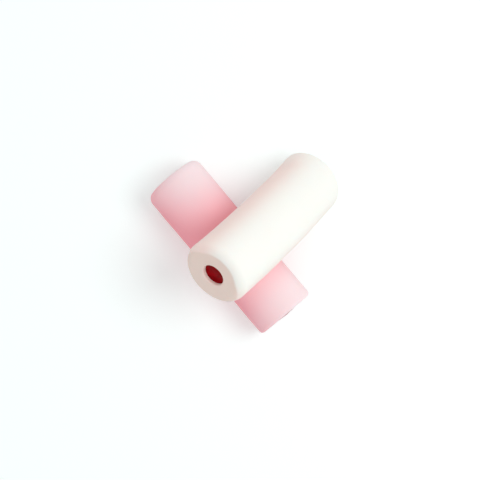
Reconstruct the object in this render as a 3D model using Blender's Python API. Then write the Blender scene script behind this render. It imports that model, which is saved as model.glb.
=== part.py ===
"""Two jam-filled marshmallow sticks: a pink one lying flat and a white one leaning across it.

Each stick is a soft extruded tube with a bore along its axis and a rod of jam in the bore, so the
pair has four bodies: white_mallow, white_filling, pink_mallow and pink_filling. The pink stick lies
along X. The white stick stands on the rim of its far end (+Y), rests on the pink stick and holds
its near end (-Y) up. Where the sticks meet each other or the ground they are slightly pressed flat.
Lengths are in metres, +Z is up, and the origin is at the middle of the pair's footprint.
"""

import math

import bmesh
import bpy
from mathutils import Matrix, Vector

# Sticks
PINK_LENGTH = 0.0625
PINK_RADIUS = 0.0110
PINK_NEAR_RIM = 0.0014
PINK_FAR_RIM = 0.0031
WHITE_LENGTH = 0.0610
WHITE_RADIUS = 0.0115
WHITE_RIM = 0.0027

# Jam core, the same in both sticks
BORE_RADIUS = 0.0039
MOUTH_ROUNDING = 0.0005
FILLING_GAP = 0.0003
FILLING_EDGE = 0.0004
NEAR_RECESS = 0.0016
FAR_RECESS = 0.0012
PINK_DOME = 0.0002

# How the white stick leans across the pink one
LEAN = math.radians(40.0)
HEADING = math.radians(-84.0)
CROSSING_X = 0.0055
BOW = 0.0009

# Softness: how far a stick gives way where it is pressed, the clearance kept at a contact, and how
# the outer wall swells in two waves along the stick
PINK_SETTLE = 0.0004
WHITE_SETTLE = 0.0003
CROSSING_SQUASH = 0.00045
CONTACT_GAP = 0.0003
CONTACT_BLEND = 0.0001
UNEVENNESS = 0.00012
SLOW_WAVE = 0.034
QUICK_WAVE = 0.021
PINK_PHASE = 0.6
WHITE_PHASE = 2.1

# Mesh fineness
STICK_SIDES = 40
FILLING_SIDES = 24
WALL_STATIONS = 22
BORE_STATIONS = 8
RIM_STEPS = 4
MOUTH_STEPS = 2
MERGE_DISTANCE = 1e-6
SHARP_ANGLE = math.radians(40)

WHITE_COLOUR = (0.93, 0.87, 0.82)
PINK_COLOUR = (0.92, 0.48, 0.52)
JAM_COLOUR = (0.22, 0.004, 0.008)
FOAM_ROUGHNESS = 0.75
JAM_ROUGHNESS = 0.3


def arc(centre_x, centre_r, radius, start, end, steps):
    """Points of an arc in the (axis, radius) half plane, from one angle to another in degrees."""
    points = []
    for step in range(steps + 1):
        angle = math.radians(start + (end - start) * step / steps)
        points.append((centre_x + radius * math.cos(angle), centre_r + radius * math.sin(angle)))
    return points


def run(start_x, end_x, radius, steps):
    """Inner points of a straight run along the axis, without its two ends."""
    return [(start_x + (end_x - start_x) * step / steps, radius) for step in range(1, steps)]


def mallow_outline(length, radius, near_rim, far_rim):
    """Closed outline of a bored stick: bore, mouths, flat end faces, round rims and outer wall."""
    half = length / 2
    mouth_x = half - MOUTH_ROUNDING
    mouth_r = BORE_RADIUS + MOUTH_ROUNDING
    near_x = half - near_rim
    far_x = far_rim - half
    outline = run(-mouth_x, mouth_x, BORE_RADIUS, BORE_STATIONS)
    outline += arc(mouth_x, mouth_r, MOUTH_ROUNDING, -90, 0, MOUTH_STEPS)
    outline += arc(near_x, radius - near_rim, near_rim, 0, 90, RIM_STEPS)
    outline += run(near_x, far_x, radius, WALL_STATIONS)
    outline += arc(far_x, radius - far_rim, far_rim, 90, 180, RIM_STEPS)
    outline += arc(-mouth_x, mouth_r, MOUTH_ROUNDING, 180, 270, MOUTH_STEPS)
    return outline


def filling_outline(start_x, end_x, dome):
    """Outline of a rod of jam from pole to pole, with softened edges and a dome on its +X end."""
    radius = BORE_RADIUS - FILLING_GAP
    inner = radius - FILLING_EDGE
    middle = inner / 2
    swell = dome * (1 - (middle / inner) ** 2)
    outline = [(start_x, 0), (start_x, middle), (start_x, inner)]
    outline += [(start_x + FILLING_EDGE, radius)]
    outline += run(start_x + FILLING_EDGE, end_x - FILLING_EDGE, radius, BORE_STATIONS)
    outline += [(end_x - FILLING_EDGE, radius)]
    outline += [(end_x, inner), (end_x + swell, middle), (end_x + dome, 0)]
    return outline


def turned(outline, sides, closed):
    """Turn an outline once round the X axis and return the mesh."""
    mesh = bmesh.new()
    verts = [mesh.verts.new((x, 0, r)) for x, r in outline]
    pairs = list(zip(verts, verts[1:]))
    if closed:
        pairs.append((verts[-1], verts[0]))
    edges = [mesh.edges.new(pair) for pair in pairs]
    bmesh.ops.spin(
        mesh,
        geom=verts + edges,
        cent=(0, 0, 0),
        axis=(1, 0, 0),
        angle=math.tau,
        steps=sides,
        use_merge=True,
    )
    bmesh.ops.remove_doubles(mesh, verts=mesh.verts, dist=MERGE_DISTANCE)
    bmesh.ops.recalc_face_normals(mesh, faces=mesh.faces)
    return mesh


def white_axes():
    """Directions of the white stick: along it to its raised end, level across it, and up from it."""
    along = Vector((
        math.cos(HEADING) * math.cos(LEAN),
        math.sin(HEADING) * math.cos(LEAN),
        math.sin(LEAN),
    ))
    across = Vector((-along.y, along.x, 0)).normalized()
    return along, across, along.cross(across)


class Crossing:
    """The place where the white stick rests on the pink one, and the surface they share there."""

    def __init__(self):
        along, across, up = white_axes()
        self.pink_centre = Vector((0, 0, PINK_RADIUS - PINK_SETTLE))
        self.normal = along.cross(Vector((1, 0, 0))).normalized()
        self.spacing = PINK_RADIUS + WHITE_RADIUS - CROSSING_SQUASH
        self.pink_side = self.normal.cross(Vector((1, 0, 0)))
        self.white_side = self.normal.cross(along)
        rim_drop = WHITE_RIM * (math.sin(LEAN) + math.cos(LEAN) - 1)
        foot_z = WHITE_RADIUS * math.cos(LEAN) - rim_drop - WHITE_SETTLE
        rise = (foot_z - self.pink_centre.z) * self.normal.z
        foot_y = (self.spacing - rise) / self.normal.y
        foot_x = CROSSING_X + foot_y * along.x / along.y
        self.white_centre = Vector((foot_x, foot_y, foot_z)) + along * (WHITE_LENGTH / 2)
        turn = Matrix((along, across, up)).transposed().to_4x4()
        self.pink_placement = Matrix.Translation(self.pink_centre)
        self.white_placement = Matrix.Translation(self.white_centre) @ turn

    def shared_height(self, point):
        """Height of the contact surface above the pink axis, halfway between the round walls."""
        pink_offset = (point - self.pink_centre).dot(self.pink_side)
        white_offset = (point - self.white_centre).dot(self.white_side)
        if abs(pink_offset) >= PINK_RADIUS or abs(white_offset) >= WHITE_RADIUS:
            return None
        pink_top = math.sqrt(PINK_RADIUS ** 2 - pink_offset ** 2)
        white_bottom = self.spacing - math.sqrt(WHITE_RADIUS ** 2 - white_offset ** 2)
        return (pink_top + white_bottom) / 2

    def press(self, point, side):
        """Move a point of the lower (side -1) or upper (side +1) stick clear of the other one."""
        shared = self.shared_height(point)
        height = (point - self.pink_centre).dot(self.normal)
        if shared is None or side * (height - self.spacing * (side + 1) / 2) > 0:
            return point
        missing = side * (shared - height) + CONTACT_GAP / 2
        give = (missing + math.hypot(missing, CONTACT_BLEND)) / 2
        return point + self.normal * (side * give)


def uneven(point, bore_limit, phase):
    """Swell and narrow the outer wall a little, as soft extruded foam does."""
    radius = math.hypot(point.y, point.z)
    if radius <= bore_limit:
        return point
    turn = math.atan2(point.z, point.y)
    slow = math.sin(math.tau * point.x / SLOW_WAVE + phase)
    quick = math.sin(math.tau * point.x / QUICK_WAVE + 2 * turn + 2 * phase)
    share = (radius - bore_limit) / radius
    scale = 1 + UNEVENNESS * (slow + quick) / 2 * share / radius
    return Vector((point.x, point.y * scale, point.z * scale))


def bowed(point, length, bow):
    """Bend a stick sideways (+Y) in an even curve, with its mean line left in place."""
    station = 2 * point.x / length
    mean_square = 1 / 3
    return point + Vector((0, bow * (mean_square - station ** 2), 0))


def material(name, colour, roughness):
    """A Principled material with a plain colour."""
    made = bpy.data.materials.new(name)
    made.use_nodes = True
    shader = made.node_tree.nodes["Principled BSDF"]
    shader.inputs["Base Color"].default_value = (*colour, 1)
    shader.inputs["Roughness"].default_value = roughness
    shader.inputs["Metallic"].default_value = 0
    return made


def node(name, mesh, holder, finish):
    """Turn a mesh into a smooth object under its stick's empty."""
    data = bpy.data.meshes.new(name)
    mesh.to_mesh(data)
    mesh.free()
    data.shade_smooth()
    data.set_sharp_from_angle(angle=SHARP_ANGLE)
    data.materials.append(finish)
    made = bpy.data.objects.new(name, data)
    made.parent = holder
    bpy.context.collection.objects.link(made)
    return made


def holder(name, placement, parent):
    """An empty that carries the pieces of one stick."""
    made = bpy.data.objects.new(name, None)
    made.parent = parent
    made.matrix_local = placement
    bpy.context.collection.objects.link(made)
    return made


def stick_mallow(outline, length, bow, phase, crossing, placement, side):
    """The foam of one stick: turned, made uneven, bowed, pressed at the crossing and on the ground."""
    mesh = turned(outline, STICK_SIDES, closed=True)
    back = placement.inverted()
    bore_limit = BORE_RADIUS + 2 * MOUTH_ROUNDING
    for vert in mesh.verts:
        soft = bowed(uneven(vert.co, bore_limit, phase), length, bow)
        point = crossing.press(placement @ soft, side)
        point.z = max(point.z, 0)
        vert.co = back @ point
    return mesh


def stick_filling(length, bow, far_end, near_end, dome):
    """The jam of one stick: a rod that follows the bore and stops short of, or swells past, its ends."""
    mesh = turned(filling_outline(far_end, near_end, dome), FILLING_SIDES, closed=False)
    for vert in mesh.verts:
        vert.co = bowed(vert.co, length, bow)
    return mesh


def settle_on_origin(pair, pieces):
    """Move the pair so that the bottom centre of its box is the origin."""
    bpy.context.view_layer.update()
    corners = [piece.matrix_world @ vert.co for piece in pieces for vert in piece.data.vertices]
    for axis in (0, 1):
        values = [corner[axis] for corner in corners]
        pair.location[axis] = -(min(values) + max(values)) / 2


def main():
    """Build the two sticks."""
    for old in list(bpy.data.objects):
        bpy.data.objects.remove(old)

    crossing = Crossing()
    pair = holder("pair", Matrix.Identity(4), None)
    pink_stick = holder("pink_stick", crossing.pink_placement, pair)
    white_stick = holder("white_stick", crossing.white_placement, pair)

    white_foam = material("white_mallow", WHITE_COLOUR, FOAM_ROUGHNESS)
    pink_foam = material("pink_mallow", PINK_COLOUR, FOAM_ROUGHNESS)
    jam = material("jam", JAM_COLOUR, JAM_ROUGHNESS)

    pink_half = PINK_LENGTH / 2
    white_half = WHITE_LENGTH / 2
    pink_outline = mallow_outline(PINK_LENGTH, PINK_RADIUS, PINK_NEAR_RIM, PINK_FAR_RIM)
    white_outline = mallow_outline(WHITE_LENGTH, WHITE_RADIUS, WHITE_RIM, WHITE_RIM)
    pink_mallow = stick_mallow(
        pink_outline, PINK_LENGTH, 0, PINK_PHASE, crossing, crossing.pink_placement, -1
    )
    white_mallow = stick_mallow(
        white_outline, WHITE_LENGTH, BOW, WHITE_PHASE, crossing, crossing.white_placement, 1
    )
    pink_filling = stick_filling(PINK_LENGTH, 0, FAR_RECESS - pink_half, pink_half, PINK_DOME)
    white_filling = stick_filling(
        WHITE_LENGTH, BOW, FAR_RECESS - white_half, white_half - NEAR_RECESS, 0
    )
    pieces = [
        node("pink_mallow", pink_mallow, pink_stick, pink_foam),
        node("pink_filling", pink_filling, pink_stick, jam),
        node("white_mallow", white_mallow, white_stick, white_foam),
        node("white_filling", white_filling, white_stick, jam),
    ]
    settle_on_origin(pair, pieces)


main()
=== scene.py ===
"""Looks of two jam-filled marshmallow sticks: a white one leaning across a pink one.

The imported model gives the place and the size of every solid. Each stick gets a finely turned foam
body with soft rims, a cut face and a bore, and a moist core of jam, and both stand on a pale table
under soft studio light. Lengths are in metres, +Z is up.
"""

import logging
import math
from collections.abc import Callable
from dataclasses import dataclass, field
from enum import Enum

import bmesh
import bpy
from mathutils import Matrix, Vector, noise


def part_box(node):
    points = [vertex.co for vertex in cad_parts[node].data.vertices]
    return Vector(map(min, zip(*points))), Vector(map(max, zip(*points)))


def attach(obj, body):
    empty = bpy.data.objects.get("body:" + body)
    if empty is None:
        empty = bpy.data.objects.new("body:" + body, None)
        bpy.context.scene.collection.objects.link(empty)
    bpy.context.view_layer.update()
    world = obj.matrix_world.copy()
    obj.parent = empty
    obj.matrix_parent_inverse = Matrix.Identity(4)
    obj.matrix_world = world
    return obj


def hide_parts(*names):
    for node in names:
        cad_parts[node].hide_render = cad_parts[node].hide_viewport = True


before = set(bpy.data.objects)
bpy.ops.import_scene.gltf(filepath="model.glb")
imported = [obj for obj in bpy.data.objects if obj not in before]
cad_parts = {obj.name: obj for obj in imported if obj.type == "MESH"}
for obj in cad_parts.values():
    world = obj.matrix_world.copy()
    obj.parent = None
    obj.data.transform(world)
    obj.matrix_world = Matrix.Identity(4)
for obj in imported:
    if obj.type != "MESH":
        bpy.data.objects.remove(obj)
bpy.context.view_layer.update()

log = logging.getLogger("marshmallow_sticks")

Colour = tuple[float, float, float]

# Mesh fineness
STICK_SIDES = 144
WALL_STATIONS = 110
BORE_STATIONS = 24
RIM_STEPS = 12
FACE_RINGS = 8
MOUTH_STEPS = 6
FILLING_SIDES = 96
FILLING_RINGS = 14
FILLING_STATIONS = 24
MERGE_DISTANCE = 1e-7
SAME_PLACE = 1e-6

# How the surfaces give way, swell and wave
PRESS_EASING = 0.008
SLOW_WAVE = 0.034
QUICK_WAVE = 0.021
LUMP_SIZE = 0.0045
JAM_WALL_REACH = 0.00004
JAM_DOME = 0.00026
JAM_CLIMB = 0.0003
JAM_CLIMB_FROM = 0.45
JAM_SWIRL = 0.00012
JAM_SWIRL_SIZE = 0.0021

# Where dust with painted light, the cut face with painted shade over its lower rim, painted shade near the
# crossing, painted light at the ends, and jam stain lie on the foam
# Painted shade: the cut-face colour reaches over the rim on the lower side, where the rim is shaded, and
# stops short of it on the upper side
CUT_UPPER_FROM = -0.6
CUT_UPPER_TO = 0.7
CUT_WIDTH = 1.5
CUT_UPPER_LOSS = 1.55
CUT_BLUR = 0.0005
# Painted shade: the middle of the pink stick, where the white one crosses and shades it, is deepened
CROSSING_SHADE_CORE = 0.005
CROSSING_SHADE_REACH = 0.027
# Painted light: the ends of a stick are made paler
END_LIGHT_START = 0.011
END_LIGHT_FULL = 0.002
STAIN_START = 0.0001
STAIN_REACH = 0.0011
STAIN_SHARE = 0.35

# Patterns and gloss of the materials, with scales per metre
GRAIN_SCALE = 1500.0
FOAM_PATCH_SCALE = 95.0
FOAM_DARKEST = 0.985
FOAM_LIGHTEST = 1.015
FOAM_GLOSS = 0.25
FOAM_GRAIN_STRENGTH = 0.18
FOAM_GRAIN_DEPTH = 0.00008
JAM_PATCH_SCALE = 620.0
JAM_TONE_LOW = 0.36
JAM_TONE_HIGH = 0.64
JAM_ROUGHNESS_SPREAD = 0.12
JAM_GRAIN_STRENGTH = 0.1
JAM_GRAIN_DEPTH = 0.00006

TABLE_HALF_SIDE = 3.0


class End(Enum):
    """The two ends of a stick, by the sign of its own X axis."""

    FAR = -1
    NEAR = 1


class Side(Enum):
    """Which of the two touching sticks a surface belongs to."""

    LOWER = -1
    UPPER = 1


def smooth_step(value: float, low: float, high: float) -> float:
    """Ease from 0 at low to 1 at high.

    Args:
        value: The value to test.
        low: Where the result leaves 0.
        high: Where the result reaches 1.

    Returns:
        A share from 0 to 1.
    """
    share = min(max((value - low) / (high - low), 0.0), 1.0)
    return share * share * (3 - 2 * share)


def arc(centre: tuple[float, float], radius: float, start: float, end: float, steps: int) -> list[Vector]:
    """Points of an arc in the plane of a stick's axis and radius.

    Args:
        centre: The arc's centre, as a place along the axis and a distance from it.
        radius: The arc's radius.
        start: The first angle in degrees.
        end: The last angle in degrees.
        steps: How many pieces the arc has.

    Returns:
        The points, both ends among them, in the XZ plane.
    """
    points = []
    for step in range(steps + 1):
        angle = math.radians(start + (end - start) * step / steps)
        along = centre[0] + radius * math.cos(angle)
        outward = centre[1] + radius * math.sin(angle)
        points.append(Vector((along, 0, outward)))
    return points


def between(start: Vector, end: Vector, steps: int) -> list[Vector]:
    """Evenly spaced points between two others, without the two themselves."""
    return [start.lerp(end, step / steps) for step in range(1, steps)]


def turned(outline: list[Vector], sides: int, closed: bool) -> bmesh.types.BMesh:
    """Turn an outline once round the X axis.

    Args:
        outline: Points in the XZ plane.
        sides: How many sides the turned shape has.
        closed: Whether the last point joins the first.

    Returns:
        The turned mesh, with its doubles merged and its faces pointing out.
    """
    mesh = bmesh.new()
    verts = [mesh.verts.new(point) for point in outline]
    pairs = list(zip(verts, verts[1:]))
    if closed:
        pairs.append((verts[-1], verts[0]))
    edges = [mesh.edges.new(pair) for pair in pairs]
    bmesh.ops.spin(
        mesh,
        geom=verts + edges,
        cent=(0, 0, 0),
        axis=(1, 0, 0),
        angle=math.tau,
        steps=sides,
        use_merge=True,
    )
    bmesh.ops.remove_doubles(mesh, verts=mesh.verts, dist=MERGE_DISTANCE)
    bmesh.ops.recalc_face_normals(mesh, faces=mesh.faces)
    return mesh


@dataclass(frozen=True)
class Crossing:
    """The place where the white stick rests on the pink one, and how both give way there."""

    pink_centre: Vector
    pink_radius: float = 0.0110
    white_radius: float = 0.0115
    white_length: float = 0.0610
    white_rim: float = 0.0027
    lean: float = math.radians(40.0)
    heading: float = math.radians(-84.0)
    offset: float = 0.0055
    foot_settle: float = 0.0003
    squash: float = 0.00045
    gap: float = 0.0002
    blend: float = 0.0003

    @property
    def along(self) -> Vector:
        """Direction of the white stick from its foot to its raised end."""
        level = math.cos(self.lean)
        return Vector((math.cos(self.heading) * level, math.sin(self.heading) * level, math.sin(self.lean)))

    @property
    def across(self) -> Vector:
        """Level direction across the white stick."""
        return Vector((-self.along.y, self.along.x, 0)).normalized()

    @property
    def normal(self) -> Vector:
        """Direction from the pink stick's axis to the white stick's, square to both."""
        return self.along.cross(Vector((1, 0, 0))).normalized()

    @property
    def spacing(self) -> float:
        """Distance between the axes of the two sticks."""
        return self.pink_radius + self.white_radius - self.squash

    @property
    def white_centre(self) -> Vector:
        """Middle of the white stick."""
        rim_drop = self.white_rim * (math.sin(self.lean) + math.cos(self.lean) - 1)
        foot_z = self.white_radius * math.cos(self.lean) - rim_drop - self.foot_settle
        rise = (foot_z - self.pink_centre.z) * self.normal.z
        foot_y = (self.spacing - rise) / self.normal.y
        foot_x = self.offset + foot_y * self.along.x / self.along.y
        foot = Vector((self.pink_centre.x + foot_x, self.pink_centre.y + foot_y, foot_z))
        return foot + self.along * (self.white_length / 2)

    @property
    def white_placement(self) -> Matrix:
        """Matrix that takes the white stick from its own axes to its place."""
        axes = Matrix((self.along, self.across, self.along.cross(self.across))).transposed()
        return Matrix.Translation(self.white_centre) @ axes.to_4x4()

    @property
    def pink_placement(self) -> Matrix:
        """Matrix that takes the pink stick from its own axes to its place."""
        return Matrix.Translation(self.pink_centre)

    def presser(self, side: Side) -> Callable[[Vector], Vector]:
        """Make the function that presses one stick's surface clear of the other stick.

        Args:
            side: The stick whose points will be pressed.

        Returns:
            A function from a point to the pressed point.
        """
        normal, spacing, centre = self.normal, self.spacing, self.pink_centre
        pink_side = normal.cross(Vector((1, 0, 0)))
        white_side = normal.cross(self.along)
        white_centre = self.white_centre
        sign = side.value

        def press(point: Vector) -> Vector:
            """Move a point half of the way that the two round walls overlap."""
            pink_offset = (point - centre).dot(pink_side)
            white_offset = (point - white_centre).dot(white_side)
            height = (point - centre).dot(normal)
            outer_half = sign * (height - spacing * (sign + 1) / 2) > 0
            if outer_half or abs(pink_offset) >= self.pink_radius or abs(white_offset) >= self.white_radius:
                return point
            pink_top = math.sqrt(self.pink_radius ** 2 - pink_offset ** 2)
            white_bottom = spacing - math.sqrt(self.white_radius ** 2 - white_offset ** 2)
            missing = sign * ((pink_top + white_bottom) / 2 - height) + self.gap / 2
            give = (missing + math.hypot(missing, self.blend)) / 2 - self.blend ** 2 / PRESS_EASING
            return point + normal * (sign * max(give, 0.0))

        return press


@dataclass(frozen=True)
class FoamFinish:
    """Soft matte marshmallow foam: a skin that is paler where dust lies and, as painted light, on the side
    facing the lamp, and deeper as painted shade on the other side; and a warmer cut face whose colour partly
    stands for painted shade.
    """

    name: str
    # Painted light and shade: the bare colour stands for the side away from the lamp and the shade near the
    # crossing, the dusted colour for the side facing the lamp
    bare_shaded: Colour
    dusted_lit: Colour
    cut_face_and_shade: Colour
    stain: Colour
    roughness: float = 0.82
    glow: float = 0.12
    glow_depth: float = 0.002
    glow_radius: Colour = (1.0, 0.55, 0.42)


@dataclass(frozen=True)
class JamFinish:
    """Dark, moist fruit jam with an uneven gloss."""

    name: str = "jam"
    deep: Colour = (0.20, 0.0008, 0.0022)
    bright: Colour = (0.32, 0.0022, 0.0060)
    gloss_tint: Colour = (1.0, 0.10, 0.12)
    roughness: float = 0.32
    gloss: float = 0.05


class Painter:
    """Builds the node groups and the materials of the sweets."""

    def __init__(self) -> None:
        """Make the groups that several materials share."""
        self.patches = self.patches_group()

    @staticmethod
    def patches_group() -> bpy.types.NodeTree:
        """Broad, soft patches of tone and a fine grain of height, from object coordinates.

        Returns:
            The group. It puts out a tone from 0 to 1 and a height from 0 to 1.
        """
        group = bpy.data.node_groups.new("soft_patches", "ShaderNodeTree")
        for name, default in (("Patch Scale", 90.0), ("Grain Scale", 1400.0)):
            socket = group.interface.new_socket(name, in_out="INPUT", socket_type="NodeSocketFloat")
            socket.default_value = default
        for name in ("Tone", "Height"):
            group.interface.new_socket(name, in_out="OUTPUT", socket_type="NodeSocketFloat")
        nodes, links = group.nodes, group.links
        inputs = nodes.new("NodeGroupInput")
        outputs = nodes.new("NodeGroupOutput")
        place = nodes.new("ShaderNodeTexCoord")
        for scale, detail, output in (("Patch Scale", 2.0, "Tone"), ("Grain Scale", 3.0, "Height")):
            pattern = nodes.new("ShaderNodeTexNoise")
            pattern.inputs["Detail"].default_value = detail
            links.new(place.outputs["Object"], pattern.inputs["Vector"])
            links.new(inputs.outputs[scale], pattern.inputs["Scale"])
            links.new(pattern.outputs["Fac"], outputs.inputs[output])
        return group

    @staticmethod
    def blend(tree: bpy.types.NodeTree, share: bpy.types.NodeSocket, low: Colour | bpy.types.NodeSocket,
              high: Colour | bpy.types.NodeSocket) -> bpy.types.NodeSocket:
        """Mix two colours by a share.

        Args:
            tree: The material's node tree.
            share: The socket that gives the share of the second colour.
            low: The first colour, or a socket that gives it.
            high: The second colour, or a socket that gives it.

        Returns:
            The socket of the mixed colour.
        """
        mix = tree.nodes.new("ShaderNodeMix")
        mix.data_type = "RGBA"
        tree.links.new(share, mix.inputs["Factor"])
        for name, colour in (("A", low), ("B", high)):
            socket = next(s for s in mix.inputs if s.name == name and s.type == "RGBA")
            if isinstance(colour, bpy.types.NodeSocket):
                tree.links.new(colour, socket)
            else:
                socket.default_value = (*colour, 1)
        return next(s for s in mix.outputs if s.type == "RGBA")

    @staticmethod
    def attribute(tree: bpy.types.NodeTree, name: str) -> bpy.types.NodeSocket:
        """Read a share that the mesh carries."""
        reader = tree.nodes.new("ShaderNodeAttribute")
        reader.attribute_name = name
        return reader.outputs["Fac"]

    def place_patches(
        self, tree: bpy.types.NodeTree, patch_scale: float, grain_scale: float,
    ) -> bpy.types.Node:
        """Put the shared group in a material with its own scales.

        Args:
            tree: The material's node tree.
            patch_scale: Scale of the broad patches, per metre.
            grain_scale: Scale of the fine grain, per metre.

        Returns:
            The group's node.
        """
        node = tree.nodes.new("ShaderNodeGroup")
        node.node_tree = self.patches
        node.inputs["Patch Scale"].default_value = patch_scale
        node.inputs["Grain Scale"].default_value = grain_scale
        return node

    @staticmethod
    def raise_grain(
        tree: bpy.types.NodeTree, height: bpy.types.NodeSocket, strength: float, depth: float,
    ) -> None:
        """Let a height roughen the shader's normal.

        Args:
            tree: The material's node tree.
            height: The socket of the height, from 0 to 1.
            strength: How strongly the height shows.
            depth: The depth in metres that a height of 1 stands for.
        """
        bump = tree.nodes.new("ShaderNodeBump")
        bump.inputs["Strength"].default_value = strength
        bump.inputs["Distance"].default_value = depth
        tree.links.new(height, bump.inputs["Height"])
        tree.links.new(bump.outputs["Normal"], tree.nodes["Principled BSDF"].inputs["Normal"])

    def foam(self, finish: FoamFinish) -> bpy.types.Material:
        """Make the material of one stick's foam.

        Args:
            finish: The foam's colours and softness.

        Returns:
            The material. It reads from the mesh the share of dust and painted light, the share of cut face
            and painted rim shade, and the share of jam stain.
        """
        material = bpy.data.materials.new(finish.name)
        material.use_nodes = True
        tree = material.node_tree
        shader = tree.nodes["Principled BSDF"]
        patches = self.place_patches(tree, FOAM_PATCH_SCALE, GRAIN_SCALE)
        # Painted light and shade: the skin goes from the bare colour on the side away from the lamp to the
        # dusted colour on the side facing it
        skin = self.blend(tree, self.attribute(tree, "dust"), finish.bare_shaded, finish.dusted_lit)
        # Painted shade: the cut-face share also covers the shaded lower rim, and its warm colour partly
        # stands for the shade on the face
        faced = self.blend(tree, self.attribute(tree, "cut_face_and_shade"), skin, finish.cut_face_and_shade)
        stained = self.blend(tree, self.attribute(tree, "stain"), faced, finish.stain)
        tone = tree.nodes.new("ShaderNodeHueSaturation")
        value = tree.nodes.new("ShaderNodeMapRange")
        value.inputs["To Min"].default_value = FOAM_DARKEST
        value.inputs["To Max"].default_value = FOAM_LIGHTEST
        tree.links.new(patches.outputs["Tone"], value.inputs["Value"])
        tree.links.new(value.outputs["Result"], tone.inputs["Value"])
        tree.links.new(stained, tone.inputs["Color"])
        tree.links.new(tone.outputs["Color"], shader.inputs["Base Color"])
        shader.inputs["Roughness"].default_value = finish.roughness
        shader.inputs["Specular IOR Level"].default_value = FOAM_GLOSS
        shader.inputs["Subsurface Weight"].default_value = finish.glow
        shader.inputs["Subsurface Scale"].default_value = finish.glow_depth
        shader.inputs["Subsurface Radius"].default_value = finish.glow_radius
        self.raise_grain(tree, patches.outputs["Height"], FOAM_GRAIN_STRENGTH, FOAM_GRAIN_DEPTH)
        return material

    def jam(self, finish: JamFinish) -> bpy.types.Material:
        """Make the material of the jam.

        Args:
            finish: The jam's colours and gloss.

        Returns:
            The material.
        """
        material = bpy.data.materials.new(finish.name)
        material.use_nodes = True
        tree = material.node_tree
        shader = tree.nodes["Principled BSDF"]
        patches = self.place_patches(tree, JAM_PATCH_SCALE, GRAIN_SCALE)
        lit = tree.nodes.new("ShaderNodeMapRange")
        lit.inputs["From Min"].default_value = JAM_TONE_LOW
        lit.inputs["From Max"].default_value = JAM_TONE_HIGH
        tree.links.new(patches.outputs["Tone"], lit.inputs["Value"])
        colour = self.blend(tree, lit.outputs["Result"], finish.deep, finish.bright)
        tree.links.new(colour, shader.inputs["Base Color"])
        sheen = tree.nodes.new("ShaderNodeMapRange")
        sheen.inputs["To Min"].default_value = finish.roughness - JAM_ROUGHNESS_SPREAD
        sheen.inputs["To Max"].default_value = finish.roughness + JAM_ROUGHNESS_SPREAD
        tree.links.new(patches.outputs["Tone"], sheen.inputs["Value"])
        tree.links.new(sheen.outputs["Result"], shader.inputs["Roughness"])
        shader.inputs["Specular IOR Level"].default_value = finish.gloss
        shader.inputs["Specular Tint"].default_value = (*finish.gloss_tint, 1)
        self.raise_grain(tree, patches.outputs["Height"], JAM_GRAIN_STRENGTH, JAM_GRAIN_DEPTH)
        return material


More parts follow.
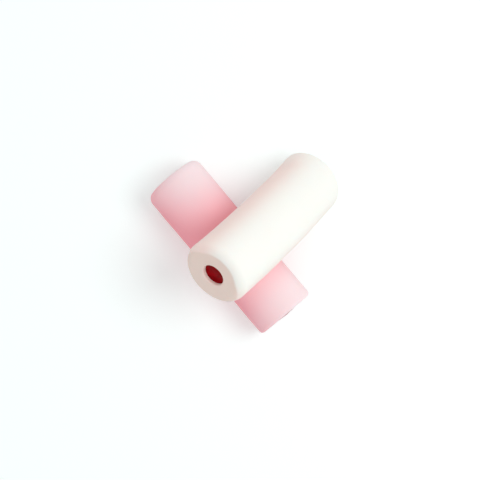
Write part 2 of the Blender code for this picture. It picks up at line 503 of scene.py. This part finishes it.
@dataclass
class MarshmallowStick:
    """One stick: a turned foam body with a bore, and the jam that fills the bore."""

    name: str
    length: float
    radius: float
    near_rim: float
    far_rim: float
    bow: float
    seed: float
    placement: Matrix
    press: Callable[[Vector], Vector]
    near_recess: float
    far_recess: float = 0.0012
    bore: float = 0.0039
    mouth: float = 0.0005
    unevenness: float = 0.00012
    lumps: float = 0.00005
    # Painted light and shade: the direction and limits below make the foam paler on the side facing the lamp
    # and deeper away from it; the next share deepens the middle as painted shade, and the two end shares
    # pale the ends as painted light
    dust_light_side: Vector = field(default_factory=lambda: Vector((0, 0, 1)))
    dust_light_from: float = -0.5
    dust_light_to: float = 0.5
    crossing_shade: float = 0.0
    near_end_light: float = 0.0
    far_end_light: float = 0.0
    pieces: list[bpy.types.Object] = field(default_factory=list)

    def foam_outline(self) -> list[Vector]:
        """Closed outline of the foam, from one end of the bore round the outside to the other.

        Returns:
            Points in the XZ plane of the stick's own axes.
        """
        half = self.length / 2
        mouth_x, mouth_r = half - self.mouth, self.bore + self.mouth
        near_mouth = arc((mouth_x, mouth_r), self.mouth, -90, 0, MOUTH_STEPS)
        near_rim = arc((half - self.near_rim, self.radius - self.near_rim), self.near_rim, 0, 90, RIM_STEPS)
        far_rim = arc((self.far_rim - half, self.radius - self.far_rim), self.far_rim, 90, 180, RIM_STEPS)
        far_mouth = arc((-mouth_x, mouth_r), self.mouth, 180, 270, MOUTH_STEPS)
        outline = near_mouth + between(near_mouth[-1], near_rim[0], FACE_RINGS) + near_rim
        outline += between(near_rim[-1], far_rim[0], WALL_STATIONS) + far_rim
        outline += between(far_rim[-1], far_mouth[0], FACE_RINGS) + far_mouth
        outline += between(far_mouth[-1], near_mouth[0], BORE_STATIONS)
        return outline

    def jam_outline(self) -> list[Vector]:
        """Outline of the jam from pole to pole, which reaches just into the wall of the bore.

        Returns:
            Points in the XZ plane of the stick's own axes.
        """
        radius = self.bore + JAM_WALL_REACH
        low = self.far_recess - self.length / 2
        high = self.length / 2 - self.near_recess
        far = between(Vector((low, 0, 0)), Vector((low, 0, radius)), FILLING_RINGS)
        near = between(Vector((high, 0, radius)), Vector((high, 0, 0)), FILLING_RINGS)
        wall = between(Vector((low, 0, radius)), Vector((high, 0, radius)), FILLING_STATIONS)
        ends = Vector((low, 0, 0)), Vector((low, 0, radius)), Vector((high, 0, radius)), Vector((high, 0, 0))
        return [ends[0], *far, ends[1], *wall, ends[2], *near, ends[3]]

    def bowed(self, point: Vector) -> Vector:
        """Bend a point sideways with the stick, in an even curve."""
        station = 2 * point.x / self.length
        return point + Vector((0, self.bow * (1 / 3 - station ** 2), 0))

    def uneven(self, point: Vector) -> Vector:
        """Swell and narrow the outside a little and lay soft lumps on it, as foam has.

        Args:
            point: A point of the plain turned shape.

        Returns:
            The moved point. The bore stays as it is.
        """
        radius = math.hypot(point.y, point.z)
        limit = self.bore + 2 * self.mouth
        if radius <= limit:
            return point
        turn = math.atan2(point.z, point.y)
        slow = math.sin(math.tau * point.x / SLOW_WAVE + self.seed)
        quick = math.sin(math.tau * point.x / QUICK_WAVE + 2 * turn + 2 * self.seed)
        share = (radius - limit) / radius
        scale = 1 + self.unevenness * (slow + quick) / 2 * share / radius
        swelled = Vector((point.x, point.y * scale, point.z * scale))
        spot = swelled / LUMP_SIZE + Vector((self.seed * 7, 0, 0))
        outward = Vector((0, point.y, point.z)) / radius
        lump = noise.noise(spot) * self.lumps * share * 2
        face = smooth_step(abs(point.x), self.length / 2 - self.rim(point.x), self.length / 2)
        end = math.copysign(1, point.x)
        dip = noise.noise(spot * 1.3) * self.lumps * 2 - self.lumps * 1.2
        return swelled + outward * (lump * (1 - face)) + Vector((end * face * dip, 0, 0))

    def rim(self, place: float) -> float:
        """Radius of the rim at the end that a place along the stick is nearer to."""
        return self.near_rim if place > 0 else self.far_rim

    def shape_foam(self) -> bmesh.types.BMesh:
        """Turn, swell, bend, place and press the foam.

        Returns:
            The mesh in the row's frame, with its paint shares as float layers.
        """
        mesh = turned(self.foam_outline(), STICK_SIDES, closed=True)
        self.paint(mesh)
        for vert in mesh.verts:
            own = self.bowed(self.uneven(vert.co))
            point = self.press(self.placement @ own)
            point.z = max(point.z, 0)
            vert.co = point
        return mesh

    def paint(self, mesh: bmesh.types.BMesh) -> None:
        """Give each vertex its shares of dust with painted light, of cut face with painted shade over the
        lower rim, and of jam stain; painted shade near the crossing and painted light at the ends go into
        the first share.

        Args:
            mesh: The plain turned foam, still on the stick's own axes.
        """
        layers = {name: mesh.verts.layers.float.new(name) for name in ("dust", "cut_face_and_shade", "stain")}
        turn = self.placement.to_3x3()
        half = self.length / 2
        for vert in mesh.verts:
            radius = math.hypot(vert.co.y, vert.co.z)
            outward = turn @ Vector((0, vert.co.y, vert.co.z)) / max(radius, SAME_PLACE)
            depth = half - abs(vert.co.x)
            rim = self.rim(vert.co.x)
            # Painted shade: the cut-face share runs further over the rim on the lower side of the stick,
            # where the rim is in shade
            upper = smooth_step(vert.co.z / max(radius, SAME_PLACE), CUT_UPPER_FROM, CUT_UPPER_TO)
            edge = rim * (CUT_WIDTH - CUT_UPPER_LOSS * upper)
            inset = depth + radius - self.radius + rim
            face_and_shaded_rim = 1 - smooth_step(inset, edge - CUT_BLUR, edge + CUT_BLUR)
            # Painted light: the dust share grows towards the side that faces the lamp, so that side is paler
            # and the other side deeper
            settled_and_lit = smooth_step(outward.dot(self.dust_light_side), self.dust_light_from, self.dust_light_to)
            # Painted shade: near the middle of the stick, where the other stick crosses and shades it, the
            # dust share is taken down and the colour deepens
            away_from_crossing = smooth_step(abs(vert.co.x), CROSSING_SHADE_CORE, CROSSING_SHADE_REACH)
            dust = settled_and_lit * (1 - self.crossing_shade * (1 - away_from_crossing))
            # Painted light: the pale share is raised towards the ends
            lit_end = smooth_step(abs(vert.co.x), half - END_LIGHT_START, half - END_LIGHT_FULL)
            lit_end *= self.near_end_light if vert.co.x > 0 else self.far_end_light
            vert[layers["dust"]] = dust + (1 - dust) * lit_end
            vert[layers["cut_face_and_shade"]] = face_and_shaded_rim
            near_jam = 1 - smooth_step(radius, self.bore - STAIN_START, self.bore + STAIN_REACH)
            vert[layers["stain"]] = near_jam * STAIN_SHARE

    def shape_jam(self) -> bmesh.types.BMesh:
        """Turn the jam, swell or sink its ends, and bend and place it with the stick.

        Returns:
            The mesh in the row's frame.
        """
        mesh = turned(self.jam_outline(), FILLING_SIDES, closed=False)
        high = self.length / 2 - self.near_recess
        low = self.far_recess - self.length / 2
        for vert in mesh.verts:
            radius = math.hypot(vert.co.y, vert.co.z)
            climb = smooth_step(radius / self.bore, JAM_CLIMB_FROM, 1.0) ** 2
            swirl = noise.noise(vert.co / JAM_SWIRL_SIZE + Vector((self.seed * 3, 0, 0)))
            if vert.co.x > high - SAME_PLACE:
                vert.co.x += self.end_swell(End.NEAR, radius, climb) + swirl * JAM_SWIRL
            elif vert.co.x < low + SAME_PLACE:
                vert.co.x -= self.end_swell(End.FAR, radius, climb) + swirl * JAM_SWIRL
            vert.co = self.placement @ self.bowed(vert.co)
        return mesh

    def end_swell(self, end: End, radius: float, climb: float) -> float:
        """How far the jam stands out from its flat end.

        Args:
            end: The end of the stick.
            radius: Distance from the stick's axis.
            climb: How far the jam climbs the wall there, from 0 to 1.

        Returns:
            The distance, outwards.
        """
        recess = self.near_recess if end is End.NEAR else self.far_recess
        if recess <= 0:
            return JAM_DOME * max(0.0, 1 - (radius / self.bore) ** 2)
        return JAM_CLIMB * climb

    def finish_piece(
        self, suffix: str, mesh: bmesh.types.BMesh, material: bpy.types.Material,
    ) -> bpy.types.Object:
        """Turn a mesh into a smooth piece and hand it to the frame.

        Args:
            suffix: The rest of the CAD node's name after the stick's own.
            mesh: The finished mesh in the row's frame.
            material: The piece's material.

        Returns:
            The piece.
        """
        node = f"{self.name}_{suffix}"
        data = bpy.data.meshes.new(f"{node}_soft")
        mesh.to_mesh(data)
        mesh.free()
        data.shade_smooth()
        data.materials.append(material)
        piece = bpy.data.objects.new(f"{node}_soft", data)
        bpy.context.scene.collection.objects.link(piece)
        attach(piece, "root")
        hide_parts(node)
        self.pieces.append(piece)
        return piece

    def build(self, foam: bpy.types.Material, jam: bpy.types.Material) -> None:
        """Build both pieces of the stick and dress them.

        Args:
            foam: The material of the foam.
            jam: The material of the jam.
        """
        self.finish_piece("mallow", self.shape_foam(), foam)
        self.finish_piece("filling", self.shape_jam(), jam)


@dataclass
class Studio:
    """A pale table, soft light from high on one side, and the camera."""

    key_direction: tuple[float, float, float] = (0.30, 0.46, 1.0)
    key_distance: float = 0.6
    key_size: float = 0.30
    key_power: float = 1.08
    sky: float = 0.575
    horizon: float = 0.53
    table_colour: Colour = (0.87, 0.95, 0.94)
    table_glow: float = 0.21
    lens: float = 113.7
    camera_distance: float = 0.53
    camera_lean: tuple[float, float] = (0.0422, 0.0388)
    camera_roll: float = 0.8703
    camera_drift: tuple[float, float] = (0.00403, 0.00195)

    def lay_table(self) -> None:
        """Lay a wide matte table that looks white to the camera and still takes shadows."""
        mesh = bmesh.new()
        bmesh.ops.create_grid(mesh, x_segments=1, y_segments=1, size=TABLE_HALF_SIDE)
        data = bpy.data.meshes.new("table")
        mesh.to_mesh(data)
        mesh.free()
        material = bpy.data.materials.new("table")
        material.use_nodes = True
        tree = material.node_tree
        tree.nodes.clear()
        output = tree.nodes.new("ShaderNodeOutputMaterial")
        surface = tree.nodes.new("ShaderNodeBsdfDiffuse")
        surface.inputs["Color"].default_value = (*self.table_colour, 1)
        glow = tree.nodes.new("ShaderNodeEmission")
        both = tree.nodes.new("ShaderNodeAddShader")
        tree.links.new(self.seen_by_camera(tree, self.table_glow), glow.inputs["Strength"])
        tree.links.new(surface.outputs["BSDF"], both.inputs[0])
        tree.links.new(glow.outputs["Emission"], both.inputs[1])
        tree.links.new(both.outputs["Shader"], output.inputs["Surface"])
        data.materials.append(material)
        table = bpy.data.objects.new("table", data)
        bpy.context.scene.collection.objects.link(table)

    @staticmethod
    def seen_by_camera(tree: bpy.types.NodeTree, amount: float) -> bpy.types.NodeSocket:
        """An amount that only rays from the camera or from a gloss see.

        Args:
            tree: The node tree to work in.
            amount: The amount that those rays see.

        Returns:
            The socket that gives the amount, or 0.
        """
        path = tree.nodes.new("ShaderNodeLightPath")
        either = tree.nodes.new("ShaderNodeMath")
        either.operation = "MAXIMUM"
        tree.links.new(path.outputs["Is Camera Ray"], either.inputs[0])
        tree.links.new(path.outputs["Is Glossy Ray"], either.inputs[1])
        scaled = tree.nodes.new("ShaderNodeMath")
        scaled.operation = "MULTIPLY"
        scaled.inputs[1].default_value = amount
        tree.links.new(either.outputs["Value"], scaled.inputs[0])
        return scaled.outputs["Value"]

    def sky_strength(self, tree: bpy.types.NodeTree) -> bpy.types.NodeSocket:
        """Strength of the sky, which is brighter towards the horizon, as in a tent of white cloth.

        Args:
            tree: The world's node tree.

        Returns:
            The socket that gives the strength.
        """
        direction = tree.nodes.new("ShaderNodeTexCoord")
        split = tree.nodes.new("ShaderNodeSeparateXYZ")
        lowness = tree.nodes.new("ShaderNodeMapRange")
        lowness.inputs["To Min"].default_value = 1.0
        lowness.inputs["To Max"].default_value = 0.0
        squared = tree.nodes.new("ShaderNodeMath")
        squared.operation = "MULTIPLY"
        total = tree.nodes.new("ShaderNodeMath")
        total.operation = "MULTIPLY_ADD"
        total.inputs[1].default_value = self.horizon
        total.inputs[2].default_value = self.sky
        tree.links.new(direction.outputs["Generated"], split.inputs["Vector"])
        tree.links.new(split.outputs["Z"], lowness.inputs["Value"])
        tree.links.new(lowness.outputs["Result"], squared.inputs[0])
        tree.links.new(lowness.outputs["Result"], squared.inputs[1])
        tree.links.new(squared.outputs["Value"], total.inputs[0])
        return total.outputs["Value"]

    def light(self) -> None:
        """Light the sweets with a soft white sky and one broad lamp."""
        world = bpy.data.worlds.new("studio")
        bpy.context.scene.world = world
        world.use_nodes = True
        tree = world.node_tree
        background = tree.nodes["Background"]
        background.inputs["Color"].default_value = (1, 1, 1, 1)
        strength = tree.nodes.new("ShaderNodeMix")
        tree.links.new(self.seen_by_camera(tree, 1.0), strength.inputs["Factor"])
        tree.links.new(self.sky_strength(tree), strength.inputs["A"])
        strength.inputs["B"].default_value = 1.0
        tree.links.new(strength.outputs["Result"], background.inputs["Strength"])

        lamp = bpy.data.lights.new("key", "AREA")
        lamp.shape = "DISK"
        lamp.size = self.key_size
        lamp.energy = self.key_power
        key = bpy.data.objects.new("key", lamp)
        direction = Vector(self.key_direction).normalized()
        key.location = direction * self.key_distance
        key.rotation_euler = direction.to_track_quat("Z", "Y").to_euler()
        bpy.context.scene.collection.objects.link(key)

    def aim_camera(self, target: Vector) -> None:
        """Look nearly straight down on the sticks.

        Args:
            target: The point in the middle of the picture.
        """
        camera = bpy.data.cameras.new("camera")
        camera.lens = self.lens
        camera.clip_start = 0.01
        view = bpy.data.objects.new("camera", camera)
        back = Vector((math.sin(self.camera_lean[0]), math.sin(self.camera_lean[1]), 0))
        back.z = math.sqrt(1 - back.x ** 2 - back.y ** 2)
        level = Vector((0, 1, 0)).cross(back).normalized()
        upright = back.cross(level)
        turn = Matrix.Rotation(self.camera_roll, 3, back)
        right, up = turn @ level, turn @ upright
        axes = Matrix((right, up, back)).transposed()
        aim = target + right * self.camera_drift[0] + up * self.camera_drift[1]
        view.matrix_world = Matrix.Translation(aim + back * self.camera_distance) @ axes.to_4x4()
        bpy.context.scene.collection.objects.link(view)
        bpy.context.scene.camera = view


def pink_axis_centre() -> Vector:
    """Middle of the pink stick's axis, from the places of its two CAD nodes.

    Returns:
        The point in the row's frame.
    """
    foam_low, foam_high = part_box("pink_mallow")
    core_low, core_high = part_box("pink_filling")
    core = (core_low + core_high) / 2
    return Vector(((foam_low.x + foam_high.x) / 2, core.y, core.z))


def report(stick: MarshmallowStick) -> None:
    """Log how far each piece's box is from the box of the CAD node that it stands for."""
    for piece in stick.pieces:
        low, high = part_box(piece.name.removesuffix("_soft"))
        corners = [vert.co for vert in piece.data.vertices]
        for axis in range(3):
            values = [corner[axis] for corner in corners]
            log.info(
                "%s %s: low %+.2f mm, high %+.2f mm",
                piece.name, "XYZ"[axis],
                (min(values) - low[axis]) * 1000, (max(values) - high[axis]) * 1000,
            )
        log.info("%s: %d faces", piece.name, len(piece.data.polygons))


def main() -> None:
    """Build the sticks, the table, the light and the camera."""
    logging.basicConfig(level=logging.INFO, format="%(message)s")
    scene = bpy.context.scene
    scene.view_settings.view_transform = "Standard"

    crossing = Crossing(pink_axis_centre())
    painter = Painter()
    jam = painter.jam(JamFinish())
    # The bare and dusted colours are painted shade and painted light as well as foam colour; the cut-face
    # colours are partly painted shade
    pink_foam = painter.foam(FoamFinish(
        "pink_foam", bare_shaded=(0.985, 0.345, 0.405), dusted_lit=(0.985, 0.815, 0.84), cut_face_and_shade=(0.95, 0.60, 0.63),
        stain=(0.72, 0.24, 0.26),
    ))
    white_foam = painter.foam(FoamFinish(
        "white_foam", bare_shaded=(0.985, 0.785, 0.735), dusted_lit=(0.98, 0.975, 0.92), cut_face_and_shade=(0.88, 0.72, 0.65),
        stain=(0.88, 0.66, 0.62),
    ))
    pink = MarshmallowStick(
        name="pink", length=0.0625, radius=0.0110, near_rim=0.0014, far_rim=0.0031, bow=0.0, seed=0.6,
        placement=crossing.pink_placement, press=crossing.presser(Side.LOWER), near_recess=0.0,
        # Painted light: paler towards +Y and at both ends; painted shade: deeper in the middle where the
        # white stick crosses
        dust_light_side=Vector((0, 0.8, 0.6)), dust_light_from=-1.1, dust_light_to=1.3, crossing_shade=0.85, near_end_light=0.26,
        far_end_light=0.18,
    )
    white = MarshmallowStick(
        name="white", length=0.0610, radius=0.0115, near_rim=0.0027, far_rim=0.0027, bow=0.0009, seed=2.1,
        placement=crossing.white_placement, press=crossing.presser(Side.UPPER), near_recess=0.0016,
        # Painted light: paler towards the lamp's side and at the far end
        dust_light_side=Vector((0.357, 0.624, 0.695)), dust_light_from=0.18, dust_light_to=0.95,
        far_end_light=0.5,
    )
    pink.build(pink_foam, jam)
    white.build(white_foam, jam)
    report(pink)
    report(white)

    studio = Studio()
    studio.lay_table()
    studio.light()
    studio.aim_camera(crossing.pink_centre)


if __name__ == "__main__":
    main()
